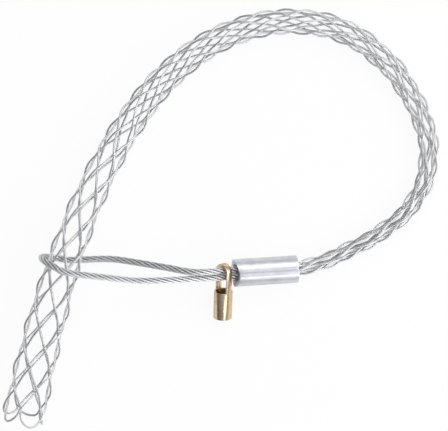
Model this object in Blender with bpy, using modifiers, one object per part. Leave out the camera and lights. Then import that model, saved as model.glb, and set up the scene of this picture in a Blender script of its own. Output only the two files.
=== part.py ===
"""Cable pulling grip, lying flat: a braided wire sock, a pressed sleeve, a rope eye and a brass end.

The sock is braided from five strands. Each strand leaves the sleeve, winds to the mouth,
turns back in a loop and winds the other way home. The rope eye wraps round the sock near its
mouth, and the brass end is captive on the two legs of the eye.
+X runs along the sleeve towards the sock, +Z is up, and the grip rests on z = 0.
"""

import math

import bmesh
import bpy
from mathutils import Matrix, Vector

MM = 0.001
CLEAR = 0.3 * MM
OBJECT_NAME = "cable_pulling_grip"

# Sock: the braid
STRAND_D = 1.2 * MM
STRANDS = 5
BRAID_PITCH = 103.7 * MM
FIRST_CROSSING = 6.6 * MM
CROSSINGS = 43
RINGS_PER_CROSSING = 3
THROAT_WAVE = 0.95 * MM
MOUTH_WAVE = 0.86 * MM
LOOP_LENGTH = 5.5 * MM
MOUTH_SLANT = 2.6 * MM
STRAND_GRIP = 13 * MM
# Share of a mouth loop's length, of its half width and of the strand's offset in or out
LOOP_SHAPE = ((0.30, 0.93, 0.90), (0.62, 0.74, 0.70), (0.88, 0.42, 0.40))

# Sock: distance from the sleeve and radius over the strands
SOCK_RADII = (
    (0 * MM, 4.36 * MM),
    (60 * MM, 4.8 * MM),
    (110 * MM, 5.8 * MM),
    (200 * MM, 6.9 * MM),
    (310 * MM, 8.05 * MM),
    (373 * MM, 9.15 * MM),
    (410 * MM, 10.5 * MM),
    (450 * MM, 11.3 * MM),
)

# Sock: distance from the sleeve and how far the whole braid is rolled about its axis, in degrees
SOCK_ROLLS = (
    (0 * MM, 30),
    (150 * MM, 28),
    (230 * MM, 20),
    (280 * MM, 20),
    (334 * MM, 36),
    (450 * MM, 43),
)

# Sock: where its axis runs, from the sleeve's end, seen from above
SOCK_ROUTE = (
    (36.3, -26.8),
    (49.6, -23.2),
    (64.4, -16.5),
    (78.4, -8.8),
    (91.1, 1.5),
    (99.7, 15.1),
    (102.6, 31.2),
    (99.7, 47.2),
    (83.4, 74.7),
    (57.3, 93.2),
    (25.8, 96.7),
    (-4.6, 87.2),
    (-29.9, 67.9),
    (-49.4, 42.7),
    (-64.7, 14.8),
    (-76.8, -15.0),
    (-86.5, -45.3),
    (-94.5, -76.3),
    (-98.9, -95.1),
)

# Sleeve
SLEEVE_LENGTH = 31.9 * MM
SLEEVE_D = 13.8 * MM
SLEEVE_TILT = math.radians(10)
SLEEVE_YAW = math.radians(3.46)
SLEEVE_MOUTH_DEPTH = 3.2 * MM
SLEEVE_MOUTH_FLARE = 0.6 * MM
SLEEVE_SCALLOP = 1.9 * MM
CREASE_DEPTH = 0.5 * MM
CREASE_WIDTH = 3.4 * MM
CREASE_ANGLE = math.radians(19)

# Rope eye: six strands round a core
ROPE_STRAND_D = 0.98 * MM
ROPE_CORE_D = 0.94 * MM
ROPE_LAY_RADIUS = 1.25 * MM
ROPE_LAY_PITCH = 25 * MM
ROPE_STRANDS = 6
ROPE_SIDES_PER_TURN = 8
ROPE_LEG_GAP = 0.14 * MM
ROPE_GRIP = 15 * MM
ROPE_STRAIGHT = 15 * MM
CROSSING_AT = 377.8 * MM
CROSSING_SLANT = 3.2 * MM
WRAP_HALF_ANGLE = math.radians(96)
WRAP_STEPS = 8

# Rope eye: points of its two legs between the straight stretch and the sock
LOWER_LEG = (
    (-29.0, -25.9, 13.0),
    (-43.0, -23.6, 8.3),
    (-57.0, -21.8, 3.9),
)
UPPER_LEG = (
    (-57.0, -31.0, 22.4),
    (-43.0, -32.4, 20.0),
    (-29.0, -32.2, 17.9),
)

# Threaded end
END_D = 9.3 * MM
END_LENGTH = 28.9 * MM
END_BARREL = 14.2 * MM
END_BORE_D = 5.0 * MM
TONGUE_THICKNESS = 3.1 * MM
WINDOW_WIDTH = 6.8 * MM
ARCH_THICKNESS = 1.4 * MM
ARCH_MARGIN = 0.06 * MM
WINDOW_SILL = 0.4 * MM
END_FROM_SLEEVE = 5.0 * MM
END_TILT = math.radians(22)
END_LEAN = math.radians(2)
END_ROLL = math.radians(50)
END_EDGE = 0.25 * MM

ROPE_D = 2 * ROPE_LAY_RADIUS + ROPE_STRAND_D
ROPE_LEG_PITCH = ROPE_D + ROPE_LEG_GAP
CROSSING_STEP = BRAID_PITCH / (2 * STRANDS)
BRAID_LENGTH = FIRST_CROSSING + CROSSINGS * CROSSING_STEP
TURN_RATE = 2 * math.pi / BRAID_PITCH
STRAND_ANGLE = 2 * math.pi / STRANDS
ROPE_LIFT = ROPE_D + CLEAR

part_collection = None
cutter_collection = None


def clear_scene():
    """Remove whatever the scene holds and make the two collections."""
    global part_collection, cutter_collection
    for obj in list(bpy.data.objects):
        bpy.data.objects.remove(obj, do_unlink=True)
    part_collection = bpy.data.collections.new(OBJECT_NAME)
    cutter_collection = bpy.data.collections.new(OBJECT_NAME + "_cutters")
    bpy.context.scene.collection.children.link(part_collection)
    bpy.context.scene.collection.children.link(cutter_collection)


def make_material(name, colour, roughness, metallic):
    """A plain Principled material."""
    material = bpy.data.materials.new(name)
    material.use_nodes = True
    shader = material.node_tree.nodes["Principled BSDF"]
    shader.inputs["Base Color"].default_value = (*colour, 1)
    shader.inputs["Roughness"].default_value = roughness
    shader.inputs["Metallic"].default_value = metallic
    return material


class Route:
    """A smooth curve through points, read by the distance along it."""

    STEPS = 24

    def __init__(self, points):
        first = 2 * points[0] - points[1]
        last = 2 * points[-1] - points[-2]
        padded = [first, *points, last]
        self.places = []
        for a, b, c, d in zip(padded, padded[1:], padded[2:], padded[3:]):
            for step in range(self.STEPS):
                self.places.append(self.between(a, b, c, d, step / self.STEPS))
        self.places.append(points[-1].copy())
        self.distances = [0.0]
        for here, there in zip(self.places, self.places[1:]):
            self.distances.append(self.distances[-1] + (there - here).length)
        self.length = self.distances[-1]

    @staticmethod
    def between(a, b, c, d, t):
        """A centripetal span from b to c, so that close points make no kink."""
        t1 = math.sqrt((b - a).length)
        t2 = t1 + math.sqrt((c - b).length)
        t3 = t2 + math.sqrt((d - c).length)
        at = t1 + t * (t2 - t1)
        p = a.lerp(b, at / t1)
        q = b.lerp(c, (at - t1) / (t2 - t1))
        r = c.lerp(d, (at - t2) / (t3 - t2))
        pq = p.lerp(q, at / t2)
        qr = q.lerp(r, (at - t1) / (t3 - t1))
        return pq.lerp(qr, (at - t1) / (t2 - t1))

    def at(self, distance):
        """The point this far along, carried straight on past either end."""
        if distance <= 0:
            start = (self.places[1] - self.places[0]).normalized()
            return self.places[0] + start * distance
        if distance >= self.length:
            end = (self.places[-1] - self.places[-2]).normalized()
            return self.places[-1] + end * (distance - self.length)
        low = 0
        high = len(self.distances) - 1
        while high - low > 1:
            middle = (low + high) // 2
            if self.distances[middle] <= distance:
                low = middle
            else:
                high = middle
        span = self.distances[high] - self.distances[low]
        share = (distance - self.distances[low]) / span
        return self.places[low].lerp(self.places[high], share)

    def along(self, distance, reach=0.4 * MM):
        """The direction of travel this far along."""
        return (self.at(distance + reach) - self.at(distance - reach)).normalized()


def smooth_step(share):
    """0 before the start, 1 after the end, with no corner between."""
    share = min(max(share, 0.0), 1.0)
    return share * share * (3 - 2 * share)


# Sleeve frame

SLEEVE_RIGHT = Vector((SOCK_ROUTE[0][0], SOCK_ROUTE[0][1], 0)) * MM
SLEEVE_RIGHT.z = SLEEVE_D / 2 * math.cos(SLEEVE_TILT)
# From the sock's end of the sleeve to the rope's end
SLEEVE_AXIS = Vector(
    (
        -math.cos(SLEEVE_TILT) * math.cos(SLEEVE_YAW),
        -math.cos(SLEEVE_TILT) * math.sin(SLEEVE_YAW),
        math.sin(SLEEVE_TILT),
    )
)
SLEEVE_LEFT = SLEEVE_RIGHT + SLEEVE_AXIS * SLEEVE_LENGTH


# Threaded end's frame: its own Z runs up to the arch, its X across the window

END_Z = Vector(
    (
        math.cos(END_TILT) * math.sin(END_LEAN),
        math.cos(END_TILT) * math.cos(END_LEAN),
        math.sin(END_TILT),
    )
)
END_LEVEL = Vector((math.cos(END_LEAN), -math.sin(END_LEAN), 0))
END_X = END_LEVEL * math.cos(END_ROLL) + END_LEVEL.cross(END_Z) * math.sin(END_ROLL)
END_Y = END_Z.cross(END_X)
END_PLACE = SLEEVE_LEFT + SLEEVE_AXIS * END_FROM_SLEEVE


# Sock


def table_value(table, distance):
    """A value that changes along the sock, read from its table without corners."""
    if distance <= table[0][0]:
        return table[0][1]
    for (start, before), (end, after) in zip(table, table[1:]):
        if distance <= end:
            share = (distance - start) / (end - start)
            return before + (after - before) * (smooth_step(share) + share) / 2
    return table[-1][1]


def sock_radius(distance):
    """The radius over the strands, this far from the sleeve."""
    return table_value(SOCK_RADII, distance)


def sock_roll(distance):
    """How far the whole braid is rolled about its axis here."""
    return math.radians(table_value(SOCK_ROLLS, distance))


def sock_plan():
    """The sock's axis seen from above, starting inside the sleeve so that it leaves straight."""
    points = [Vector((x, y, 0)) * MM for x, y in SOCK_ROUTE]
    back = Vector((SLEEVE_AXIS.x, SLEEVE_AXIS.y, 0)).normalized()
    return Route([points[0] + back * STRAND_GRIP, *points])


SOCK_PLAN = sock_plan()
SLEEVE_DROP = SLEEVE_RIGHT.z - SOCK_RADII[0][1]
SETTLE_LENGTH = 2 * SLEEVE_DROP / math.tan(SLEEVE_TILT)
LIFT_REACH = 62 * MM


def sock_axis(distance):
    """A point of the sock's axis. The sock lies on the floor, but for the rope under it."""
    if distance < 0:
        return SLEEVE_RIGHT - SLEEVE_AXIS * distance
    place = SOCK_PLAN.at(distance + STRAND_GRIP)
    place.z = sock_radius(distance)
    place.z += SLEEVE_DROP * max(1 - distance / SETTLE_LENGTH, 0) ** 2
    place.z += ROPE_LIFT * (1 - smooth_step(abs(distance - CROSSING_AT) / LIFT_REACH))
    return place


def sock_frame(distance):
    """The sock's axis point with its sideways and upward directions."""
    reach = 1.5 * MM
    along = (sock_axis(distance + reach) - sock_axis(distance - reach)).normalized()
    if distance < 0:
        along = -SLEEVE_AXIS
    side = along.cross(Vector((0, 0, 1))).normalized()
    return sock_axis(distance), side, side.cross(along)


def sock_point(distance, angle, radius):
    """A point on the sock, by distance from the sleeve, angle round the axis and radius."""
    centre, side, up = sock_frame(distance)
    return centre + side * (radius * math.cos(angle)) + up * (radius * math.sin(angle))


def wave_height(distance):
    """How far a strand goes in and out of the braid's middle surface."""
    eased = smooth_step(distance / BRAID_LENGTH)
    return THROAT_WAVE + (MOUTH_WAVE - THROAT_WAVE) * eased


def braid_radius(distance):
    """The braid's middle surface."""
    return sock_radius(distance) - wave_height(distance) - STRAND_D / 2


def woven_point(strand, way, distance):
    """A point of a strand that winds one way (1) or the other (-1). Inside the sleeve it runs straight."""
    free = max(distance, 0)
    wound = (free - FIRST_CROSSING) * TURN_RATE
    angle = sock_roll(free) + strand * STRAND_ANGLE + way * wound
    offset = way * wave_height(free) * math.cos(wound * STRANDS)
    return sock_point(distance, angle, braid_radius(free) + offset)


def winding(strand, way):
    """One way of a strand through the braid, from inside the sleeve to the last crossing."""
    ring_step = CROSSING_STEP / RINGS_PER_CROSSING
    first = -math.floor(FIRST_CROSSING / ring_step)
    places = [-STRAND_GRIP, -STRAND_GRIP / 2, 0]
    for ring in range(first, CROSSINGS * RINGS_PER_CROSSING + 1):
        places.append(FIRST_CROSSING + ring * ring_step)
    return [woven_point(strand, way, distance) for distance in places]


def mouth_loop(strand):
    """The turn at the mouth, from the end of one winding to the start of the other."""
    half = STRAND_ANGLE / 2
    wound = (BRAID_LENGTH - FIRST_CROSSING) * TURN_RATE
    middle = sock_roll(BRAID_LENGTH) + strand * STRAND_ANGLE + wound + half
    length = LOOP_LENGTH + MOUTH_SLANT * math.sin(middle)
    side = math.cos(wound * STRANDS) * wave_height(BRAID_LENGTH)
    turns = [(long, wide, -1, rise) for long, wide, rise in LOOP_SHAPE]
    turns.append((1, 0, 0, 0))
    turns += [(long, wide, 1, rise) for long, wide, rise in reversed(LOOP_SHAPE)]
    points = []
    for long, wide, way, rise in turns:
        distance = BRAID_LENGTH + long * length
        radius = braid_radius(BRAID_LENGTH) - way * side * rise
        points.append(sock_point(distance, middle + way * half * wide, radius))
    return points


def strand_points(strand):
    """A whole strand: out along one winding, round its mouth loop and back along another."""
    out = winding(strand, 1)
    home = winding(strand + CROSSINGS + 1, -1)
    return out + mouth_loop(strand) + home[::-1]


# Rope eye


def wrap_points():
    """The eye's bend round the sock, from under it to over it."""
    points = []
    for step in range(WRAP_STEPS + 1):
        share = step / WRAP_STEPS
        distance = CROSSING_AT + CROSSING_SLANT * (2 * share - 1)
        angle = (2 * share - 1) * WRAP_HALF_ANGLE
        radius = sock_radius(distance) + CLEAR + ROPE_D / 2
        points.append(sock_point(distance, angle, radius))
    return points


def eye_route():
    """The rope's centre line, out along the lower leg, round the sock and back along the upper."""
    stack = END_Z - SLEEVE_AXIS * END_Z.dot(SLEEVE_AXIS)
    stack = stack.normalized() * (ROPE_LEG_PITCH / 2)
    runs = (-ROPE_GRIP, -ROPE_GRIP / 2, 0, END_FROM_SLEEVE, END_FROM_SLEEVE + ROPE_STRAIGHT)
    lower = [SLEEVE_LEFT + SLEEVE_AXIS * run + stack for run in runs]
    upper = [SLEEVE_LEFT + SLEEVE_AXIS * run - stack for run in reversed(runs)]
    lower += [Vector(point) * MM for point in LOWER_LEG]
    upper = [Vector(point) * MM for point in UPPER_LEG] + upper
    return Route(lower + wrap_points() + upper)


def carried_frames(route, count):
    """Points along a route, with two cross directions that don't twist about it."""
    frames = []
    side = route.along(0).cross(Vector((0, 0, 1))).normalized()
    for step in range(count + 1):
        distance = route.length * step / count
        along = route.along(distance)
        side = (side - along * side.dot(along)).normalized()
        frames.append((route.at(distance), side, along.cross(side)))
    return frames


def rope_strand_points(frames, turns, strand):
    """One strand, laid round the rope's centre line."""
    points = []
    for step, (centre, side, up) in enumerate(frames):
        angle = 2 * math.pi * (turns * step / (len(frames) - 1) + strand / ROPE_STRANDS)
        points.append(centre + (side * math.cos(angle) + up * math.sin(angle)) * ROPE_LAY_RADIUS)
    return points


# Making the pieces


def wire_section(name, diameter, sides=5):
    """The outline that wires are drawn along, kept with the cutters."""
    curve = bpy.data.curves.new(name, "CURVE")
    spline = curve.splines.new("POLY")
    spline.points.add(sides - 1)
    spline.use_cyclic_u = True
    for corner, point in enumerate(spline.points):
        angle = -2 * math.pi * corner / sides
        point.co = (math.cos(angle) * diameter / 2, math.sin(angle) * diameter / 2, 0, 1)
    section = bpy.data.objects.new(name, curve)
    section.hide_render = True
    section.display_type = "WIRE"
    cutter_collection.objects.link(section)
    return section


def wire_piece(name, points, section, material):
    """A wire with flat ends, drawn through the points."""
    curve = bpy.data.curves.new(name, "CURVE")
    curve.dimensions = "3D"
    curve.twist_mode = "MINIMUM"
    curve.bevel_mode = "OBJECT"
    curve.bevel_object = section
    curve.use_fill_caps = True
    spline = curve.splines.new("POLY")
    spline.points.add(len(points) - 1)
    for point, place in zip(spline.points, points):
        point.co = (*place, 1)
    curve.materials.append(material)
    wire = bpy.data.objects.new(name, curve)
    part_collection.objects.link(wire)
    return wire


def primitive(name, radius, length, place, sides, collection):
    """A cylinder whose own Z runs from one end, at its origin, to the other."""
    mesh = bpy.data.meshes.new(name)
    shape = bmesh.new()
    bmesh.ops.create_cone(
        shape,
        cap_ends=True,
        segments=sides,
        radius1=radius,
        radius2=radius,
        depth=length,
        matrix=Matrix.Translation((0, 0, length / 2)),
    )
    shape.to_mesh(mesh)
    shape.free()
    obj = bpy.data.objects.new(name, mesh)
    obj.matrix_world = place
    collection.objects.link(obj)
    return obj


def block(name, size, place):
    """A box cutter centred on its place."""
    mesh = bpy.data.meshes.new(name)
    shape = bmesh.new()
    bmesh.ops.create_cube(shape, size=1, matrix=Matrix.Diagonal((*size, 1)))
    shape.to_mesh(mesh)
    shape.free()
    obj = bpy.data.objects.new(name, mesh)
    obj.matrix_world = place
    cutter_collection.objects.link(obj)
    return obj


def plate(name, outline, thickness, place):
    """A flat outline in its own XY plane, given thickness both ways, as a mesh cutter."""
    curve = bpy.data.curves.new(name, "CURVE")
    curve.dimensions = "2D"
    curve.fill_mode = "BOTH"
    curve.extrude = thickness / 2
    spline = curve.splines.new("POLY")
    spline.points.add(len(outline) - 1)
    spline.use_cyclic_u = True
    for point, (x, y) in zip(spline.points, outline):
        point.co = (x, y, 0, 1)
    drawn = bpy.data.objects.new(name + "_outline", curve)
    cutter_collection.objects.link(drawn)
    bpy.context.view_layer.update()
    graph = bpy.context.evaluated_depsgraph_get()
    mesh = bpy.data.meshes.new_from_object(drawn.evaluated_get(graph))
    bpy.data.objects.remove(drawn, do_unlink=True)
    shape = bmesh.new()
    shape.from_mesh(mesh)
    bmesh.ops.remove_doubles(shape, verts=shape.verts, dist=0.01 * MM)
    bmesh.ops.recalc_face_normals(shape, faces=shape.faces)
    shape.to_mesh(mesh)
    shape.free()
    obj = bpy.data.objects.new(name, mesh)
    obj.matrix_world = place
    cutter_collection.objects.link(obj)
    return obj


def arc(centre, radius, start, end, steps):
    """Points of an arc, angles in degrees."""
    points = []
    for step in range(steps + 1):
        angle = math.radians(start + (end - start) * step / steps)
        points.append((centre[0] + radius * math.cos(angle), centre[1] + radius * math.sin(angle)))
    return points


def stadium(length, width, steps):
    """A slot's outline with round ends, long along X."""
    offset = (length - width) / 2
    right = arc((offset, 0), width / 2, -90, 90, steps)
    left = arc((-offset, 0), width / 2, 90, 270, steps)
    return right + left


def shape_with(obj, cutter, operation="DIFFERENCE"):
    """Cut or trim one solid with another, and keep the cutter out of the model."""
    cutter.hide_render = True
    cutter.display_type = "WIRE"
    modifier = obj.modifiers.new(cutter.name, "BOOLEAN")
    modifier.operation = operation
    modifier.solver = "EXACT"
    modifier.object = cutter


def soften(obj, width, angle):
    """Small chamfers on the sharp edges."""
    modifier = obj.modifiers.new("edges", "BEVEL")
    modifier.width = width
    modifier.segments = 1
    modifier.limit_method = "ANGLE"
    modifier.angle_limit = math.radians(angle)
    modifier.use_clamp_overlap = True


def smooth(obj, angle=35):
    """Smooth shading that keeps the sharp edges."""
    obj.data.shade_smooth()
    obj.data.set_sharp_from_angle(angle=math.radians(angle))


def frame_matrix(x_axis, y_axis, z_axis, place):
    """A placement from three directions and a point."""
    turned = Matrix((x_axis, y_axis, z_axis)).transposed()
    return Matrix.Translation(place) @ turned.to_4x4()


def build_sock(material):
    """The strands of the braid."""
    section = wire_section("strand_section", STRAND_D)
    for strand in range(STRANDS):
        wire_piece(f"mesh_strand_{strand + 1}", strand_points(strand), section, material)


def build_rope(material):
    """The core and its six strands."""
    route = eye_route()
    turns = round(route.length / ROPE_LAY_PITCH)
    frames = carried_frames(route, turns * ROPE_SIDES_PER_TURN)
    core = wire_section("rope_core_section", ROPE_CORE_D)
    outer = wire_section("rope_strand_section", ROPE_STRAND_D)
    wire_piece("rope_core", [centre for centre, _, _ in frames], core, material)
    for strand in range(ROPE_STRANDS):
        points = rope_strand_points(frames, turns, strand)
        wire_piece(f"rope_strand_{strand + 1}", points, outer, material)


def build_sleeve(material):
    """The pressed sleeve: a tube with an oval bore for the ropes and a round one for the strands."""
    stack = (END_Z - SLEEVE_AXIS * END_Z.dot(SLEEVE_AXIS)).normalized()
    place = frame_matrix(-stack, stack.cross(SLEEVE_AXIS), SLEEVE_AXIS, SLEEVE_RIGHT)
    sleeve = primitive("pressed_sleeve", SLEEVE_D / 2, SLEEVE_LENGTH, place, 40, part_collection)
    sleeve.data.materials.append(material)
    throat_radius = braid_radius(0) + wave_height(0) + STRAND_D / 2 + CLEAR
    throat = primitive(
        "throat_cutter",
        throat_radius,
        STRAND_GRIP + 2 * CLEAR,
        place @ Matrix.Translation((0, 0, -CLEAR)),
        28,
        cutter_collection,
    )
    shape_with(sleeve, throat)
    slot_width = ROPE_D + 2 * CLEAR
    slot = plate(
        "rope_slot_cutter",
        stadium(ROPE_LEG_PITCH + slot_width, slot_width, 8),
        SLEEVE_LENGTH + 2 * SLEEVE_MOUTH_DEPTH,
        place @ Matrix.Translation((0, 0, SLEEVE_LENGTH / 2)),
    )
    shape_with(sleeve, slot)
    mouth_width = slot_width + 2 * SLEEVE_MOUTH_FLARE
    mouth = plate(
        "rope_mouth_cutter",
        stadium(ROPE_LEG_PITCH + mouth_width, mouth_width, 8),
        2 * SLEEVE_MOUTH_DEPTH,
        place @ Matrix.Translation((0, 0, SLEEVE_LENGTH)),
    )
    shape_with(sleeve, mouth)
    scallop_radius = (SLEEVE_D**2 / 4 + SLEEVE_SCALLOP**2) / (2 * SLEEVE_SCALLOP)
    scallop_place = place @ Matrix.Translation(
        (0, 0, SLEEVE_LENGTH + scallop_radius - SLEEVE_SCALLOP)
    )
    scallop = primitive(
        "scallop_cutter",
        scallop_radius,
        SLEEVE_D,
        scallop_place @ Matrix.Rotation(math.radians(-90), 4, "X"),
        64,
        cutter_collection,
    )
    shape_with(sleeve, scallop)
    crease_radius = (CREASE_WIDTH**2 / 4 + CREASE_DEPTH**2) / (2 * CREASE_DEPTH)
    crease_offset = SLEEVE_D / 2 + crease_radius - CREASE_DEPTH
    for side, angle in (("near", CREASE_ANGLE), ("far", CREASE_ANGLE + math.pi)):
        turned = place @ Matrix.Rotation(angle, 4, "Z")
        crease = primitive(
            f"{side}_crease_cutter",
            crease_radius,
            SLEEVE_LENGTH + 2 * CLEAR,
            turned @ Matrix.Translation((0, crease_offset, -CLEAR)),
            24,
            cutter_collection,
        )
        shape_with(sleeve, crease)
    smooth(sleeve, 30)


def build_end(material):
    """The brass end: a drilled barrel under a flat tongue with a window and a round arch."""
    place = frame_matrix(END_X, END_Y, END_Z, END_PLACE)
    radius = END_D / 2
    window_top = ROPE_LEG_PITCH / 2 + ROPE_D / 2 + CLEAR
    top = window_top + ARCH_THICKNESS
    bottom = top - END_LENGTH
    shoulder = bottom + END_BARREL
    bar = primitive(
        "threaded_end",
        radius,
        END_LENGTH + 1 * MM,
        place @ Matrix.Translation((0, 0, bottom)),
        40,
        part_collection,
    )
    bar.data.materials.append(material)
    upright = Matrix.Rotation(math.radians(90), 4, "X")
    beyond = radius + 1 * MM
    arch_radius = radius + ARCH_MARGIN
    arch_outline = arc((0, top - arch_radius), arch_radius, 0, 180, 20)
    arch_outline += [(-beyond, top - arch_radius), (-beyond, bottom - 1 * MM)]
    arch_outline += [(beyond, bottom - 1 * MM), (beyond, top - arch_radius)]
    arch = plate("arch_trim", arch_outline, 2 * beyond, place @ upright)
    shape_with(bar, arch, "INTERSECT")
    for side, name in ((-1, "near_flat"), (1, "far_flat")):
        depth = beyond - TONGUE_THICKNESS / 2
        height = top - shoulder + 1 * MM
        centre = (
            0,
            side * (TONGUE_THICKNESS / 2 + depth / 2),
            shoulder + height / 2,
        )
        flat = block(name, (2 * beyond, depth, height), place @ Matrix.Translation(centre))
        shape_with(bar, flat)
    half = WINDOW_WIDTH / 2
    window_outline = arc((0, window_top - half), half, 0, 180, 16)
    window_outline += [(-half, shoulder + WINDOW_SILL), (half, shoulder + WINDOW_SILL)]
    window = plate("window_cutter", window_outline, 2 * beyond, place @ upright)
    shape_with(bar, window)
    bore = primitive(
        "bore_cutter",
        END_BORE_D / 2,
        END_BARREL + 2 * MM,
        place @ Matrix.Translation((0, 0, bottom - 1 * MM)),
        24,
        cutter_collection,
    )
    shape_with(bar, bore)
    soften(bar, END_EDGE, 50)
    smooth(bar, 35)


def centre_on_floor():
    """Move everything so that the origin is under the middle of the grip, on the floor."""
    bpy.context.view_layer.update()
    graph = bpy.context.evaluated_depsgraph_get()
    low = Vector((math.inf,) * 3)
    high = Vector((-math.inf,) * 3)
    for obj in part_collection.objects:
        evaluated = obj.evaluated_get(graph)
        mesh = evaluated.to_mesh()
        for vertex in mesh.vertices:
            place = evaluated.matrix_world @ vertex.co
            low = Vector(map(min, low, place))
            high = Vector(map(max, high, place))
        evaluated.to_mesh_clear()
    offset = -(low + high) / 2
    offset.z = -low.z
    for obj in (*part_collection.objects, *cutter_collection.objects):
        obj.matrix_world = Matrix.Translation(offset) @ obj.matrix_world


def main():
    clear_scene()
    steel = make_material("galvanised_steel", (0.62, 0.63, 0.65), 0.38, 1.0)
    rope_steel = make_material("rope_steel", (0.5, 0.51, 0.55), 0.34, 1.0)
    aluminium = make_material("aluminium", (0.8, 0.8, 0.83), 0.28, 1.0)
    brass = make_material("brass", (0.78, 0.58, 0.33), 0.25, 1.0)
    build_sock(steel)
    build_rope(rope_steel)
    build_sleeve(aluminium)
    build_end(brass)
    centre_on_floor()


main()
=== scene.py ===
"""How the cable pulling grip looks: fine wires, pressed sleeve, brass end, floor, light and camera."""

import math

import bmesh
import bpy
import numpy as np
from mathutils import Matrix, Vector


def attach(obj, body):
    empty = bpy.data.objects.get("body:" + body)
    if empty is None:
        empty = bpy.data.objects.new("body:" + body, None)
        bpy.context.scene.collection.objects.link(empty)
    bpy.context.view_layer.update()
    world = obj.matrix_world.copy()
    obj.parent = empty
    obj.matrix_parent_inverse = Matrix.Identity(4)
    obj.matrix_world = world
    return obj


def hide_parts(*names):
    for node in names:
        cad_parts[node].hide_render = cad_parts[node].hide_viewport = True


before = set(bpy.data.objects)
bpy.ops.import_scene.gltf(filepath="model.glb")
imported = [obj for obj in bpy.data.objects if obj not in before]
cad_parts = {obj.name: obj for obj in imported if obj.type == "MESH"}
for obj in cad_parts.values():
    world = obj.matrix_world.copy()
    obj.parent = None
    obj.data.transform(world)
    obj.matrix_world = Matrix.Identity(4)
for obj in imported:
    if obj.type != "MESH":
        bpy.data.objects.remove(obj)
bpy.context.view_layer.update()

MM = 0.001
# How far the part's own frame was moved to set its origin under its middle
SHIFT = Vector((1.34931, 1.08612, -0.03865)) * MM

# Sock: the braid, as in the solid model
STRAND_D = 1.2 * MM
STRANDS = 5
BRAID_PITCH = 103.7 * MM
FIRST_CROSSING = 6.6 * MM
CROSSINGS = 43
POINTS_PER_CROSSING = 6
THROAT_WAVE = 0.95 * MM
MOUTH_WAVE = 0.86 * MM
LOOP_LENGTH = 5.5 * MM
MOUTH_SLANT = 2.6 * MM
STRAND_GRIP = 13 * MM
LOOP_SHAPE = ((0.30, 0.93, 0.90), (0.62, 0.74, 0.70), (0.88, 0.42, 0.40))
SOCK_RADII = (
    (0 * MM, 4.36 * MM),
    (60 * MM, 4.8 * MM),
    (110 * MM, 5.8 * MM),
    (200 * MM, 6.9 * MM),
    (310 * MM, 8.05 * MM),
    (373 * MM, 9.15 * MM),
    (410 * MM, 10.5 * MM),
    (450 * MM, 11.3 * MM),
)
SOCK_ROLLS = (
    (0 * MM, 30),
    (150 * MM, 28),
    (230 * MM, 20),
    (280 * MM, 20),
    (334 * MM, 36),
    (450 * MM, 43),
)
SOCK_ROUTE = (
    (36.3, -26.8),
    (49.6, -23.2),
    (64.4, -16.5),
    (78.4, -8.8),
    (91.1, 1.5),
    (99.7, 15.1),
    (102.6, 31.2),
    (99.7, 47.2),
    (83.4, 74.7),
    (57.3, 93.2),
    (25.8, 96.7),
    (-4.6, 87.2),
    (-29.9, 67.9),
    (-49.4, 42.7),
    (-64.7, 14.8),
    (-76.8, -15.0),
    (-86.5, -45.3),
    (-94.5, -76.3),
    (-98.9, -95.1),
)

# Sock: the thin wires of each strand, laid round a centre wire
LAID_WIRES = 6
WIRE_D = 0.405 * MM
WIRE_LAY = 8.5 * MM
WIRE_STEP = 1.0 * MM
WIRE_CORNERS = 6
CENTRE_WIRE_CORNERS = 5
SOCK_SEED = 11

# Sleeve
SLEEVE_LENGTH = 31.9 * MM
SLEEVE_D = 13.8 * MM
SLEEVE_TILT = math.radians(10)
SLEEVE_YAW = math.radians(3.46)
SLEEVE_MOUTH_DEPTH = 3.2 * MM
SLEEVE_MOUTH_FLARE = 0.6 * MM
SLEEVE_SCALLOP = 1.9 * MM
SLEEVE_EDGE = 0.16 * MM
SLEEVE_RINGS = 40
CREASE_DEPTH = 0.5 * MM
CREASE_REACH = 2.108 * MM
CREASE_ANGLE = math.radians(19)
PRESS_WAVE = 0.035 * MM
# How fast the press waves turn along the sleeve, in radians to a metre
PRESS_WAVE_RATES = (210, 330)

# Rope eye
ROPE_STRAND_D = 0.98 * MM
ROPE_LAY_RADIUS = 1.25 * MM
ROPE_LAY_PITCH = 25 * MM
ROPE_STRANDS = 6
ROPE_SIDES_PER_TURN = 8
ROPE_LEG_GAP = 0.14 * MM
ROPE_GRIP = 15 * MM
ROPE_STRAIGHT = 15 * MM
CROSSING_AT = 377.8 * MM
CROSSING_SLANT = 3.2 * MM
WRAP_HALF_ANGLE = math.radians(96)
WRAP_STEPS = 8
LOWER_LEG = ((-29.0, -25.9, 13.0), (-43.0, -23.6, 8.3), (-57.0, -21.8, 3.9))
UPPER_LEG = ((-57.0, -31.0, 22.4), (-43.0, -32.4, 20.0), (-29.0, -32.2, 17.9))
ROPE_WIRE_D = 0.335 * MM
ROPE_WIRE_LAY = -11 * MM
ROPE_WIRE_STEP = 0.8 * MM
ROPE_AXIS_STEP = 0.5 * MM
ROPE_SEED = 31
# Painted shade between a rope's strands, by a wire's height over the middle of its strand, in the strand's
# radii:
# where the shade starts to lift, over what rise, and the least share of full colour, which stays between
# the strands
CREST_START = -0.35
CREST_RISE = 0.75
CREST_LEAST = 0.3

# Brass end
END_D = 9.3 * MM
END_LENGTH = 28.9 * MM
END_BARREL = 14.2 * MM
END_EDGE = 0.28 * MM
END_BORE_D = 5.0 * MM
THREAD_D = 6.0 * MM
THREAD_PITCH = 1.0 * MM
THREAD_RINGS = 10
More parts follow.
